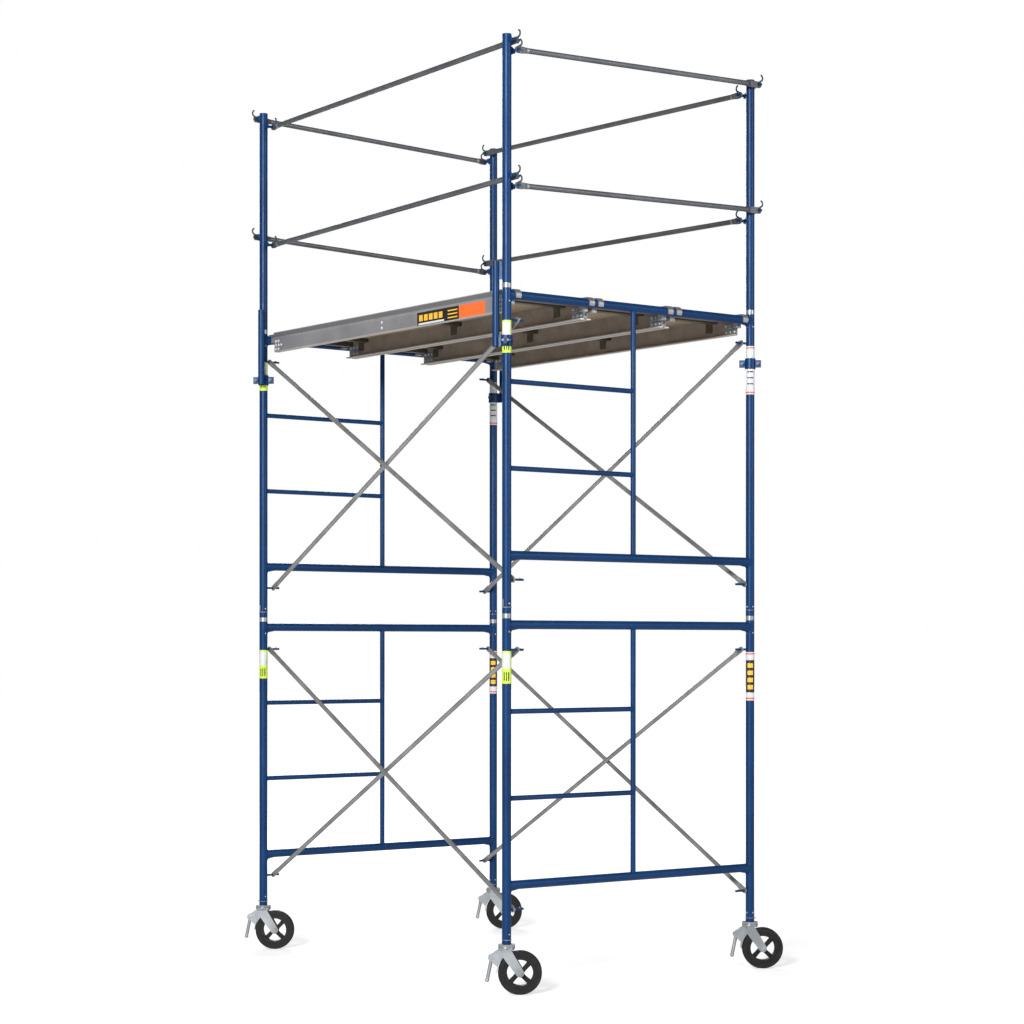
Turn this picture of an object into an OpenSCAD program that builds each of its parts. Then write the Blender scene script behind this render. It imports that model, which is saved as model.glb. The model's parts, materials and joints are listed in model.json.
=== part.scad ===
// Two-lift rolling scaffold tower: four welded end frames on swivel casters, crossed braces between
// them, three hook-on platforms on the top bearers and a two-rail guard round the deck.
// +X runs across the frames, +Y along the bay, +Z up. The origin is on the floor, at the middle of
// the box that holds the tower. Corners are named near or far (-Y or +Y) and left or right (-X or +X).

/* [Tower] */
// Frame width, leg centre to leg centre
frame_w = 1524; // [1400:1:1700]
// Bay length, leg centre to leg centre
bay_l = 2134; // [2000:1:2300]
// Height of one lift, frame to frame
lift_h = 1524; // [1500:1:1560]
// Height of the lowest leg ends above the floor
base_z = 232; // [230:1:240]

/* [Frames] */
// Outside radius of a leg
leg_r = 21.45; // [21:0.05:22]
// Wall thickness of a leg
leg_wall = 2.6; // [2.2:0.1:2.8]
// Gap between stacked legs, filled by the coupling collar
collar_h = 22; // [18:1:26]
// Outside radius of a bearer
bearer_r = 20.65; // [19:0.05:21]
// Wall thickness of a bearer
bearer_wall = 2.6; // [2.2:0.1:3]
// Outside radius of the inner post
rung_r = 12.7; // [10:0.1:14]
// Wall thickness of the rungs and of the inner post
rung_wall = 2; // [1.6:0.1:2.4]
// Height of the lower bearer above the leg end
low_bearer_h = 270; // [260:1:290]
// Height of the top bearer above the leg end
top_bearer_h = 1473; // [1450:1:1480]
// Height of the first rung above the leg end
rung_1_h = 671; // [640:1:700]
// Height of the second rung above the leg end
rung_2_h = 1072; // [1040:1:1100]
// Length of the squashed, deepened bearer end
flare_l = 62; // [50:1:70]
// Extra depth of the bearer where it meets the leg
flare_drop = 12; // [6:0.5:14]

/* [Braces] */
// Height of the lower brace stud above the leg end
low_stud_h = 157; // [150:1:165]
// Height of the upper brace stud above the leg end
top_stud_h = 1357; // [1340:1:1370]
// Radius of a brace stud
stud_r = 5.5; // [5:0.1:6]
// Reach of a brace stud from the leg centre
stud_reach = 96; // [92:1:100]
// Outside radius of a brace tube
brace_r = 11.1; // [10:0.1:11.5]
// Distance of the first brace bar from the leg centre
brace_in = 37; // [36:1:38]
// Distance between the two bars of a brace
brace_step = 24; // [23.5:0.5:25]

/* [Guard rails] */
// Length of a guard post above its collar
post_l = 1148; // [1100:1:1200]
// Height of the middle rail's lower end above the post foot
mid_rail_h = 449; // [430:1:460]
// Height of the top rail's lower end above the post foot
top_rail_h = 1075; // [1050:1:1090]
// Rise of a rail from its low end to its high end
rail_rise = 46.5; // [45:0.5:50]
// Outside radius of a guard rail
rail_r = 12.7; // [11:0.1:13]
// Distance of a rail's low stud from its post centre
arm_low = 36; // [34:1:60]
// Distance of a rail's high stud past its post centre
arm_high = 24; // [24:1:25]
// Distance of a rail's centre line beside the post centre
rail_off = 37; // [36.5:0.5:40]
// Offset of the outrigger tube from the leg, in X and in Y
outrigger_off = 36; // [35:1:40]
// Outside radius of the outrigger tube
outrigger_r = 16.7; // [15:0.1:18]
// Lift of a lock hook
hook_lift = 22; // [18:1:24]

/* [Platforms] */
// Width of one platform
deck_w = 489; // [480:1:491]
// Platform spacing
deck_step = 492; // [491.5:0.5:496]
// Depth of a platform side rail
deck_rail_h = 103; // [95:1:108]
// Distance from the bearer centre to the end of a platform side rail
deck_end = 60; // [56:1:66]
// Thickness of the plywood
ply_t = 9; // [8:1:12]
// Travel of a wind latch under its bearer
latch_travel = 35; // [20:1:36]

/* [Casters] */
// Wheel radius
wheel_r = 101.6; // [98:0.1:102]
// Tread width
tread_w = 50; // [46:1:51]
// Distance of the wheel centre behind the swivel centre
trail = 62; // [58:1:66]
// Direction in which all casters trail, about +Z from +X
trail_angle = -37.56; // [-45:0.01:-30]

/* [Hidden] */
$fn = 64;
SIDES_X = ["left", "right"];
SIDES_Y = ["near", "far"];
LIFTS = ["lower", "upper"];
DECKS = ["left", "middle", "right"];
CORNERS = [for (y = SIDES_Y) for (x = SIDES_X) str(y, "_", x)];
FRAMES = [for (l = LIFTS) for (y = SIDES_Y) str(l, "_", y)];
BRACES = [for (l = LIFTS) for (x = SIDES_X) for (b = ["rising", "falling"]) str(l, "_", x, "_", b)];
RAIL_SIDES = ["near", "right", "far", "left"];
RAILS = [for (h = ["mid", "top"]) for (s = RAIL_SIDES) str(h, "_", s)];
PER_CORNER = ["guard_post_", "guard_hooks_", "caster_fork_", "wheel_", "tyre_", "brake_lever_"];
NODES = concat(
    [for (f = FRAMES) str("frame_", f)],
    [for (b = BRACES) str("brace_", b)],
    ["coupling_pins", "spring_clips", "brace_lock_tabs", "post_clamps", "clamp_bolts", "caster_stems"],
    [for (r = RAILS) str("guard_rail_", r)],
    [for (p = PER_CORNER) for (c = CORNERS) str(p, c)],
    [for (p = ["platform_frame_", "platform_deck_", "wind_latch_"]) for (d = DECKS) str(p, d)]
);
node = "all";

// Levels above the floor
leg_l = lift_h - collar_h;
foot_z = [base_z, base_z + lift_h];
post_z = base_z + 2 * lift_h;
top_bearer_z = foot_z[1] + top_bearer_h;
deck_top = top_bearer_z + bearer_r + 12.5;
axle_z = wheel_r;

// Fits
leg_bore = leg_r - leg_wall;
pin_r = leg_bore - 0.5;
pin_l = 100;
slip = 0.3;
run = 0.05;
weld = 0.05;
eps = 0.02;

// Frame details
rung_step = 0.7;
stub_r = 15;
stub_sunk = 3;
tab_at = 76;
tab_w = 8;
tab_t = 2.5;
tab_low = 0.4;
tab_floor = 3.6;
tab_h = stud_r + 3.6;
clip_h = 29;
clip_pin_r = 2.3;
clip_wire_r = 1.6;
clip_ring_r = leg_r + 2.2;
clip_tail_l = 38;
clip_turn = 8;

// Brace details
brace_flat = 46;
brace_plate_t = 5;
brace_plate_r = 14;
brace_squash = 12;
rivet_r = 5;

// Reamed socket in the top of a guard post
socket_r = leg_bore + 0.4;
socket_l = 60;

// Guard rail locks
rail_stud_r = 7;
rail_stud_l = 54;
hook_rod = 4;
hook_at = 46.5;
hook_bend = 16;
hook_foot = -14;
end_plate_t = 6;
end_plate_r = 16;
plate_low = 28;
plate_high = 66;
neck_l = 14;
arm_plate_t = 6;
arm_plate_h = 38;
arm_tip = 14;
arm_lug = 11;

// Outrigger and its gusset and clamp
outrigger_wall = 2.6;
outrigger_low = 292;
outrigger_l = 392;
gusset_t = 6;
gusset_low = 17;
gusset_h = 83;
clamp_h = 52;
clamp_z = top_bearer_z - 216 - clamp_h / 2;
clamp_r = 27;
clamp_web_t = 18;
clamp_split = 2;
clamp_reach = norm([outrigger_off, outrigger_off]);
wing_l = 27;
wing_t = 14;
wing_inset = 8;
bolt_at = clamp_r + 12;
bolt_r = 6;
bolt_hex_r = 10.5;
bolt_shank_l = 48;
bolt_head_h = 7.4;
bolt_nut_h = 9;

// Platform details
web_t = 3;
ridge = 5;
ridge_h = 24;
ridge_slope_h = 14;
web_x = deck_w / 2 - ridge;
lip_t = 3;
lip_w = 18;
flange_w = 26;
flange_t = 5;
end_y = bay_l / 2 - deck_end;
deck_low = deck_top - deck_rail_h;
beam_top = deck_top - lip_t - ply_t;
beam_t = 36;
beam_h = 30;
member_w = 44;
member_h = 20;
MEMBER_Y = [-846, 0, 846];
bracket_w = 48;
bracket_h = 60;
bracket_t = 3;
HOOK_X = [-218.5, 218.5];
hook_w = 30;
hook_inner = bearer_r + slip;
hook_outer = hook_inner + 6.5;
hook_drop = 16;
hook_lip = 15;

// Wind latch: a flat bolt that runs through a guide block under its hook
latch_w = 20;
latch_t = 5;
latch_low = top_bearer_z - 34;
latch_from = 25;
latch_to = 110;
latch_pin_at = 102;
latch_pin_r = 4;
latch_pin_h = 9;
guide_from = 28;
guide_l = 30;
guide_drop = 3;

// Caster
tread_round = 9;
stem_l = 150;
kingpin_r = 8;
crown_top = base_z - 10;
crown_bottom = crown_top - 16;
crown_r = 37;
arm_t = 5;
arm_in = 29;
axle_r = 6.35;
lever_x = -68;
lever_z = 170;
lever_len = 106;
lever_lean = 11.6;
lever_r = 8.5;
lever_ball = 10;
lever_end_x = lever_x - lever_len * sin(lever_lean);
lever_hub_r = 17;
lever_hub_w = 33;
pivot_r = 5;
pivot_l = 54;
stem_plate_t = base_z - crown_top - slip;
kingpin_head_r = 12;
kingpin_head_h = 7;
axle_nut_r = 11;
axle_nut_h = 8;
axle_washer_r = 12;
shoe_gap = 3;
shoe_t = 4;
shoe_w = 46;
shoe_from = 138;
shoe_arc = 42;
rim_out = 76;
rim_in = 60;
rim_w = 40;
spoke_w = 18;
spoke_t = 12;
spoke_turn = 40;
wheel_hub_r = 20;
wheel_hub_w = tread_w + 4;

// Points of the brake bracket between the crown and the lever pivot
BRACKET = [
    [-8, crown_bottom + 4], [-34, crown_bottom + 4], [-78, 178], [-74, 158], [-46, 131], [-19, 167], [0, 196]
];

// Where the tower's box is, so that the origin sits at its middle
tc = cos(trail_angle);
ts = -sin(trail_angle);
wheel_reach_x = trail * tc + (wheel_r - tread_round) * tc + (tread_w / 2 - tread_round) * ts + tread_round;
wheel_reach_y = trail * ts + (wheel_r - tread_round) * ts + (tread_w / 2 - tread_round) * tc + tread_round;
lever_reach_x = -lever_end_x * tc + lever_ball;
pivot_reach_y = -lever_x * ts + pivot_l / 2 * tc + pivot_r * ts;
shift_x = (lever_reach_x - wheel_reach_x) / 2;
shift_y = (wheel_reach_y - pivot_reach_y) / 2;

BLUE = "#173a78";
STEEL = "#8d9094";
ZINC = "#b9bec2";
BLACK = "#1b1c1e";
RUBBER = "#232426";
RAIL_STEEL = "#5c6068";
DARK_STEEL = "#3a3f49";
ALU = "#9a9da3";
PLY = "#8a7460";

function corner_x(c) = (c == "near_left" || c == "far_left" ? -1 : 1) * frame_w / 2;
function corner_y(c) = (c == "near_left" || c == "near_right" ? -1 : 1) * bay_l / 2;

// ---------- shared shapes ----------

module at_corner(c) {
    translate([corner_x(c), corner_y(c), 0]) children();
}

module tube(r, wall, h) {
    difference() {
        cylinder(r = r, h = h);
        translate([0, 0, -eps]) cylinder(r = r - wall, h = h + 2 * eps);
    }
}

// A round bar along X, toward -X where l is negative
module bar_x(r, l) {
    rotate([0, 90 * sign(l), 0]) cylinder(r = r, h = abs(l));
}

// A round bar along Y, toward -Y where l is negative
module bar_y(r, l) {
    rotate([-90 * sign(l), 0, 0]) cylinder(r = r, h = abs(l));
}

// A flat link with round ends, drawn in the XY plane from the origin to (d, 0)
module link_2d(r1, r2, d) {
    a = acos((r1 - r2) / d);
    circle(r = r1);
    translate([d, 0]) circle(r = r2);
    polygon([
        [r1 * cos(a), r1 * sin(a)],
        [r1 * cos(a), -r1 * sin(a)],
        [d + r2 * cos(a), -r2 * sin(a)],
        [d + r2 * cos(a), r2 * sin(a)]
    ]);
}

// A link in the XZ plane from p to q, t thick and centred on y
module link_xz(p, q, r1, r2, t, y) {
    d = norm(q - p);
    turn = atan2(q[1] - p[1], q[0] - p[0]);
    translate([p[0], y + t / 2, p[1]])
        rotate([90, 0, 0])
        rotate([0, 0, turn])
        linear_extrude(t) link_2d(r1, r2, d);
}

// ---------- end frames ----------

// One leg with its coupling bore and the small hole that takes a spring clip
module frame_leg(s) {
    translate([s * frame_w / 2, 0, 0])
        difference() {
            tube(leg_r, leg_wall, leg_l);
            translate([0, 0, clip_h]) bar_x(clip_pin_r + slip, s * (leg_r + 5));
        }
}

// Clears everything inside the two legs
module leg_cut() {
    for (s = [-1, 1])
        translate([s * frame_w / 2, 0, -2 * leg_r]) cylinder(r = leg_r + weld, h = 4 * leg_r);
}

// A bearer between the legs
module bearer() {
    difference() {
        translate([-frame_w / 2, 0, 0]) bar_x(bearer_r, frame_w);
        translate([-frame_w / 2, 0, 0]) bar_x(bearer_r - bearer_wall, frame_w);
        leg_cut();
    }
}

// A leaning half-round under a bearer's end, which makes it deeper where it meets the leg
module bearer_flare(s) {
    stub_l = flare_l + leg_r;
    lean = atan((flare_drop + stub_sunk) / stub_l);
    difference() {
        translate([s * (frame_w / 2 - stub_l), 0, stub_r + stub_sunk - bearer_r])
            rotate([0, s * lean, 0])
            bar_x(stub_r, s * stub_l);
        translate([-frame_w / 2, 0, 0]) bar_x(bearer_r + weld, frame_w);
        leg_cut();
    }
}

// A rung from the left leg to the inner post
module rung() {
    outside = rung_r - rung_step;
    difference() {
        translate([-frame_w / 2, 0, 0]) bar_x(outside, frame_w / 2);
        translate([-frame_w / 2, 0, 0]) bar_x(outside - rung_wall, frame_w / 2);
        translate([-frame_w / 2, 0, -leg_r]) cylinder(r = leg_r + weld, h = 2 * leg_r);
        translate([0, 0, -leg_r]) cylinder(r = rung_r + weld, h = 2 * leg_r);
    }
}

module inner_post() {
    difference() {
        translate([0, 0, low_bearer_h]) tube(rung_r, rung_wall, top_bearer_h - low_bearer_h);
        for (h = [low_bearer_h, top_bearer_h])
            translate([-leg_r, 0, h]) bar_x(bearer_r + weld, 2 * leg_r);
    }
}

// A brace stud with the slot of its sprung lock tab
module brace_stud(s) {
    difference() {
        translate([s * frame_w / 2, 0, 0]) bar_x(stud_r, -s * stud_reach);
        translate([s * frame_w / 2, 0, -leg_r]) cylinder(r = leg_r + weld, h = 2 * leg_r);
        translate([s * (frame_w / 2 - tab_at) - tab_w / 2 - 2 * slip, -tab_t / 2 - slip, -tab_floor])
            cube([tab_w + 4 * slip, tab_t + 2 * slip, 2 * stud_r]);
    }
}

module end_frame(lift, y_side) {
    color(BLUE)
        translate([0, y_side * bay_l / 2, foot_z[lift]]) {
            for (s = [-1, 1]) {
                frame_leg(s);
                for (h = [low_stud_h, top_stud_h])
                    translate([0, 0, h]) brace_stud(s);
                for (h = [low_bearer_h, top_bearer_h])
                    translate([0, 0, h]) bearer_flare(s);
            }
            for (h = [low_bearer_h, top_bearer_h])
                translate([0, 0, h]) bearer();
            for (h = [rung_1_h, rung_2_h])
                translate([0, 0, h]) rung();
            inner_post();
        }
}

// The sprung tab in the end of each brace stud
module lock_tabs() {
    color(ZINC)
        for (z = foot_z)
            for (h = [low_stud_h, top_stud_h])
                for (x = [-1, 1])
                    for (y = [-1, 1])
                        translate([x * (frame_w / 2 - tab_at), y * bay_l / 2, z + h - tab_low])
                            translate([-tab_w / 2, -tab_t / 2, 0])
                            cube([tab_w, tab_t, tab_h]);
}

// ---------- coupling pins, clips and stems ----------

module coupling_pin() {
    translate([0, 0, -pin_l]) cylinder(r = pin_r, h = 2 * pin_l + collar_h);
    cylinder(r = leg_r, h = collar_h);
}

module coupling_pins() {
    color(ZINC)
        for (c = CORNERS)
            for (z = [foot_z[1], post_z])
                at_corner(c) translate([0, 0, z - collar_h]) coupling_pin();
}

// A wire clip: an open ring round the leg, a short pin into the leg wall and an upright tail
module spring_clips() {
    open_arc = 300;
    color(ZINC)
        for (c = CORNERS)
            at_corner(c)
                translate([0, 0, foot_z[1] + clip_h])
                rotate([0, 0, corner_x(c) < 0 ? 180 : 0]) {
                    translate([leg_r - 2, 0, 0]) bar_x(clip_pin_r, 5);
                    rotate([0, 0, clip_turn])
                        rotate_extrude(angle = open_arc)
                        translate([clip_ring_r, 0])
                        circle(r = clip_wire_r, $fn = 16);
                    rotate([0, 0, clip_turn])
                        translate([clip_ring_r, 0, 0])
                        cylinder(r = clip_wire_r, h = clip_tail_l);
                }
}

module caster_stems() {
    color(ZINC)
        for (c = CORNERS)
            at_corner(c) {
                translate([0, 0, base_z - stem_plate_t]) cylinder(r = crown_r + 2, h = stem_plate_t);
                translate([0, 0, base_z]) cylinder(r = pin_r, h = stem_l);
                translate([0, 0, crown_bottom - kingpin_head_h]) {
                    cylinder(r = kingpin_r, h = 40);
                    cylinder(r = kingpin_head_r, h = kingpin_head_h - slip);
                }
            }
}

// ---------- cross braces ----------

// A drawn-down end of a brace bar, from its flat plate at the origin to its round tube along +Y
module brace_neck() {
    hull() {
        translate([-brace_plate_t / 2, -10, -brace_plate_r]) cube([brace_plate_t, 1, 2 * brace_plate_r]);
        translate([0, 20, 0]) bar_y(brace_r, 1, $fn = 32);
    }
}

// One bar, drawn from the origin along +Y and up or down by rise, in the plane x = 0
module brace_bar(rise, riveted) {
    l = norm([bay_l, rise]);
    round_from = brace_flat + brace_squash;
    rivet_l = brace_step + 2 * brace_r + 6;
    rotate([atan2(rise, bay_l), 0, 0])
        difference() {
            union() {
                translate([0, round_from, 0]) bar_y(brace_r, l - 2 * round_from);
                for (y = [0, l])
                    translate([-brace_plate_t / 2, y, 0]) bar_x(brace_plate_r, brace_plate_t);
                for (y = [0, l - brace_flat])
                    translate([-brace_plate_t / 2, y, -brace_plate_r])
                        cube([brace_plate_t, brace_flat, 2 * brace_plate_r]);
                translate([0, brace_flat, 0]) brace_neck();
                translate([0, l - brace_flat, 0]) mirror([0, 1, 0]) brace_neck();
                if (riveted) translate([-brace_step - brace_r - 3, l / 2, 0]) bar_x(rivet_r, rivet_l);
            }
            for (y = [0, l])
                translate([-brace_plate_t, y, 0]) bar_x(stud_r + 0.7, 2 * brace_plate_t);
            if (!riveted) translate([-2 * brace_r, l / 2, 0]) bar_x(rivet_r + run, 4 * brace_r);
        }
}

module brace(lift, x_side, rising) {
    low = foot_z[lift] + low_stud_h;
    top = foot_z[lift] + top_stud_h;
    off = brace_in + (rising ? 0 : brace_step);
    color(STEEL)
        translate([x_side * (frame_w / 2 - off), 0, 0])
            mirror([x_side > 0 ? 0 : 1, 0, 0])
            translate([0, -bay_l / 2, rising ? low : top])
            mirror([rising ? 0 : 1, 0, 0])
            brace_bar((rising ? 1 : -1) * (top - low), !rising);
}

// ---------- guard posts ----------

// Each post has, at two heights, an arm toward the next post with the low stud and an arm past the
// last post with the high stud. This is the turn of a corner about +Z.
function corner_turn(c) = c == "near_left" ? 0 : c == "near_right" ? 90 : c == "far_right" ? 180 : 270;

// A bracket plate along +X with its stud toward -Y, as the near left post has it
module rail_arm(arm_l) {
    difference() {
        union() {
            translate([0, -arm_plate_t / 2, -arm_plate_h / 2])
                cube([arm_l - arm_tip, arm_plate_t, arm_plate_h]);
            translate([arm_l - arm_tip, -arm_plate_t / 2, 0]) bar_y(arm_plate_h / 2, arm_plate_t);
            translate([arm_l - arm_tip, -arm_plate_t / 2, -arm_lug])
                cube([arm_tip + arm_lug, arm_plate_t, 2 * arm_lug]);
            translate([arm_l, -rail_stud_l, 0]) bar_y(rail_stud_r, rail_stud_l);
        }
        translate([0, 0, -arm_plate_h]) cylinder(r = leg_r + weld, h = 2 * arm_plate_h);
        translate([arm_l, -hook_at, -arm_plate_h / 2]) cylinder(r = hook_rod + run, h = arm_plate_h);
    }
}

// A lock hook: a rod that drops through the stud, bent over at the top like a cane
module lock_hook(arm_l) {
    cane_arc = 160;
    translate([arm_l, -hook_at, 0]) {
        translate([0, 0, hook_foot]) cylinder(r = hook_rod, h = hook_bend - hook_foot);
        translate([0, 0, hook_bend]) sphere(r = hook_rod, $fn = 24);
        translate([0, 0, 2 * hook_bend])
            rotate([90, 0, 0])
            rotate([0, 0, -90])
            rotate_extrude(angle = cane_arc)
            translate([hook_bend, 0])
            circle(r = hook_rod, $fn = 24);
    }
}

// A post's four arms, and its four hooks: at two heights, a low stud toward the next post and a high
// stud past the last one. The high one is the low one mirrored.
module at_low_arms(c) {
    outer = c == "near_left" || c == "far_right";
    for (h = [mid_rail_h, top_rail_h])
        at_corner(c)
            translate([0, 0, post_z + h])
            rotate([0, 0, corner_turn(c)])
            mirror([0, outer ? 0 : 1, 0])
            children();
}

module at_high_arms(c) {
    outer = c == "near_left" || c == "far_right";
    for (h = [mid_rail_h, top_rail_h])
        at_corner(c)
            translate([0, 0, post_z + h + rail_rise])
            rotate([0, 0, corner_turn(c) - 90])
            mirror([0, outer ? 1 : 0, 0])
            children();
}

module guard_post(c) {
    out_x = sign(corner_x(c)) * outrigger_off;
    in_y = -sign(corner_y(c)) * outrigger_off;
    reach = norm([out_x, in_y]);
    color(BLUE) {
        at_corner(c) {
            difference() {
                translate([0, 0, post_z]) tube(leg_r, leg_wall, post_l);
                translate([0, 0, post_z + post_l - socket_l]) cylinder(r = socket_r, h = socket_l + 1);
            }
            translate([out_x, in_y, post_z - outrigger_low]) tube(outrigger_r, outrigger_wall, outrigger_l);
            difference() {
                rotate([0, 0, atan2(in_y, out_x)])
                    translate([0, -gusset_t / 2, post_z + gusset_low])
                    cube([reach, gusset_t, gusset_h]);
                translate([0, 0, post_z]) cylinder(r = leg_r + weld, h = 200);
                translate([out_x, in_y, post_z]) cylinder(r = outrigger_r + weld, h = 200);
            }
        }
        at_low_arms(c) rail_arm(arm_low);
        at_high_arms(c) rail_arm(arm_high);
    }
}

module guard_hooks(c) {
    color(DARK_STEEL) {
        at_low_arms(c) lock_hook(arm_low);
        at_high_arms(c) lock_hook(arm_high);
    }
}

// The neck of a rail between its flat end plate and its round tube, drawn toward +X
module rail_neck() {
    hull() {
        translate([-8, -end_plate_t / 2, -end_plate_r]) cube([1, end_plate_t, 2 * end_plate_r]);
        translate([26, 0, 0]) bar_x(rail_r, 1, $fn = 32);
    }
}

// A rail along +X from its low stud at the origin to its high stud, flattened at both ends
module rail_tube(span) {
    l = norm([span, rail_rise]);
    tilt = -atan2(rail_rise, span);
    round_l = l - plate_low - plate_high - 2 * neck_l;
    rotate([0, tilt, 0])
        difference() {
            union() {
                translate([plate_low + neck_l, 0, 0]) bar_x(rail_r, round_l);
                for (x = [0, l])
                    translate([x, -end_plate_t / 2, 0]) bar_y(end_plate_r, end_plate_t);
                translate([0, -end_plate_t / 2, -end_plate_r])
                    cube([plate_low, end_plate_t, 2 * end_plate_r]);
                translate([l - plate_high, -end_plate_t / 2, -end_plate_r])
                    cube([plate_high, end_plate_t, 2 * end_plate_r]);
                translate([plate_low, 0, 0]) rail_neck();
                translate([l - plate_high, 0, 0]) mirror([1, 0, 0]) rail_neck();
            }
            for (x = [0, l])
                translate([x, -end_plate_t, 0]) bar_y(rail_stud_r + 0.5, 2 * end_plate_t);
        }
}

// Where each rail starts and which way it runs: x, y and the turn about +Z
function rail_place(side) =
    side == "near" ? [-frame_w / 2 + arm_low, -bay_l / 2 - rail_off, 0]
    : side == "right" ? [frame_w / 2 - rail_off, -bay_l / 2 + arm_low, 90]
    : side == "far" ? [frame_w / 2 - arm_low, bay_l / 2 + rail_off, 180]
    : [-frame_w / 2 + rail_off, bay_l / 2 - arm_low, 270];

module guard_rail(side, h) {
    place = rail_place(side);
    span = (place[2] % 180 == 0 ? frame_w : bay_l) - arm_low + arm_high;
    color(RAIL_STEEL)
        translate([place[0], place[1], post_z + h])
            rotate([0, 0, place[2]])
            rail_tube(span);
}

// ---------- outrigger clamps ----------

module at_clamps() {
    for (c = CORNERS)
        at_corner(c)
            translate([0, 0, clamp_z])
            rotate([0, 0, atan2(-corner_y(c), corner_x(c) * bay_l / frame_w)])
            children();
}

// A split band round the leg with a wing on each side and a web to the outrigger tube
module post_clamps() {
    wing_end = clamp_r + wing_l;
    web_end = 50.9;
    color(BLUE)
        at_clamps()
            difference() {
                union() {
                    cylinder(r = clamp_r, h = clamp_h);
                    translate([0, -clamp_web_t / 2, 0]) cube([web_end, clamp_web_t, clamp_h]);
                    translate([-wing_t / 2, -wing_end, wing_inset])
                        cube([wing_t, 2 * wing_end, clamp_h - 2 * wing_inset]);
                }
                translate([0, 0, -1]) cylinder(r = leg_r + slip / 2, h = clamp_h + 2);
                translate([clamp_reach, 0, -1]) cylinder(r = outrigger_r, h = clamp_h + 2);
                for (s = [-1, 1]) {
                    translate([-clamp_split / 2, s > 0 ? leg_r : -wing_end - 1, -1])
                        cube([clamp_split, wing_end - leg_r + 1, clamp_h + 2]);
                    translate([-wing_t, s * bolt_at, clamp_h / 2]) bar_x(bolt_r + 0.2, 2 * wing_t);
                }
            }
}

// The two bolts of each band, with a hexagon head and nut
module clamp_bolts() {
    seat = wing_t / 2 + 0.1;
    color(ZINC)
        at_clamps()
            for (s = [-1, 1])
                translate([0, s * bolt_at, clamp_h / 2]) {
                    translate([-bolt_shank_l / 2, 0, 0]) bar_x(bolt_r, bolt_shank_l);
                    translate([-seat - bolt_head_h, 0, 0]) bar_x(bolt_hex_r, bolt_head_h, $fn = 6);
                    translate([seat, 0, 0]) bar_x(bolt_hex_r, bolt_nut_h, $fn = 6);
                }
}

// ---------- platforms ----------

// One strip of a side rail's section, drawn as x and z, run along the platform
module rail_strip(s, section) {
    translate([0, -end_y, 0])
        rotate([-90, 0, 0])
        linear_extrude(2 * end_y)
        polygon([for (p = section) [s * p[0], -p[1]]]);
}

// A side rail: top lip over the plywood, a proud band that slopes back to the web, and a bottom flange
module side_rail(s) {
    face = web_x + ridge;
    inside = web_x - web_t;
    band_low = deck_top - ridge_h - ridge_slope_h;
    flange_top = deck_low + flange_t;
    rail_strip(s, [
        [inside - weld, deck_top], [web_x - lip_w, deck_top],
        [web_x - lip_w, deck_top - lip_t], [inside - weld, deck_top - lip_t]
    ]);
    rail_strip(s, [
        [face, deck_top], [inside, deck_top], [inside, band_low],
        [web_x, band_low], [face, deck_top - ridge_h]
    ]);
    rail_strip(s, [
        [web_x, band_low - weld], [inside, band_low - weld],
        [inside, flange_top + weld], [web_x, flange_top + weld]
    ]);
    rail_strip(s, [
        [web_x, flange_top], [web_x - flange_w, flange_top], [web_x - flange_w, deck_low], [web_x, deck_low]
    ]);
}

// A cross member between the webs
module cross_member(y, w, h) {
    half = web_x - web_t - weld;
    translate([-half, y - w / 2, beam_top - h]) cube([2 * half, w, h]);
}

// A bracket on a web, just past the cross member that it holds
module member_bracket(s, y) {
    inside = web_x - web_t - weld;
    translate([s > 0 ? inside - bracket_t : -inside, y + member_w / 2 + weld, beam_top - bracket_h])
        cube([bracket_t, bracket_w, bracket_h]);
}

// A hook on the near end: a plate from the end beam that wraps over the bearer
module deck_hook() {
    cut = 2 * hook_outer;
    translate([-hook_w / 2, 0, 0])
        difference() {
            union() {
                translate([0, -bay_l / 2, top_bearer_z]) bar_x(hook_outer, hook_w);
                translate([0, -bay_l / 2, top_bearer_z - hook_drop])
                    cube([hook_w, deck_end - weld, hook_outer + hook_drop]);
            }
            translate([-1, -bay_l / 2, top_bearer_z]) bar_x(hook_inner, hook_w + 2);
            translate([-1, -bay_l / 2 - hook_inner, top_bearer_z - cut])
                cube([hook_w + 2, 2 * hook_inner, cut]);
            translate([-1, -bay_l / 2 - cut, top_bearer_z - cut - hook_lip])
                cube([hook_w + 2, cut, cut]);
        }
}

// The block under a hook plate that guides a wind latch: a top, two cheeks and a sole
module latch_guide() {
    low = latch_low - guide_drop;
    high = top_bearer_z - hook_drop - weld;
    slot_low = latch_low - slip;
    slot_high = latch_low + latch_t + slip;
    cheek = (hook_w - latch_w) / 2 - slip;
    translate([-hook_w / 2, -bay_l / 2 + guide_from, 0]) {
        translate([0, 0, slot_high]) cube([hook_w, guide_l, high - slot_high]);
        for (x = [0, hook_w - cheek])
            translate([x, 0, slot_low + weld]) cube([cheek, guide_l, slot_high - slot_low - 2 * weld]);
        translate([0, 0, low]) cube([hook_w, guide_l, slot_low - low]);
    }
}

module platform_frame(i) {
    color(ALU)
        translate([(i - 1) * deck_step, 0, 0]) {
            for (s = [-1, 1]) side_rail(s);
            for (y = MEMBER_Y) {
                cross_member(y, member_w, member_h);
                for (s = [-1, 1]) member_bracket(s, y);
            }
            for (s = [-1, 1]) cross_member(s * (end_y - beam_t / 2), beam_t, beam_h);
            for (x = HOOK_X)
                translate([x, 0, 0]) {
                    deck_hook();
                    mirror([0, 1, 0]) deck_hook();
                    latch_guide();
                }
        }
}

module platform_deck(i) {
    gap = 1;
    half = web_x - web_t - gap;
    color(PLY)
        translate([(i - 1) * deck_step - half, -end_y + gap, beam_top + eps])
            cube([2 * half, 2 * (end_y - gap), ply_t - 2 * eps]);
}

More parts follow.
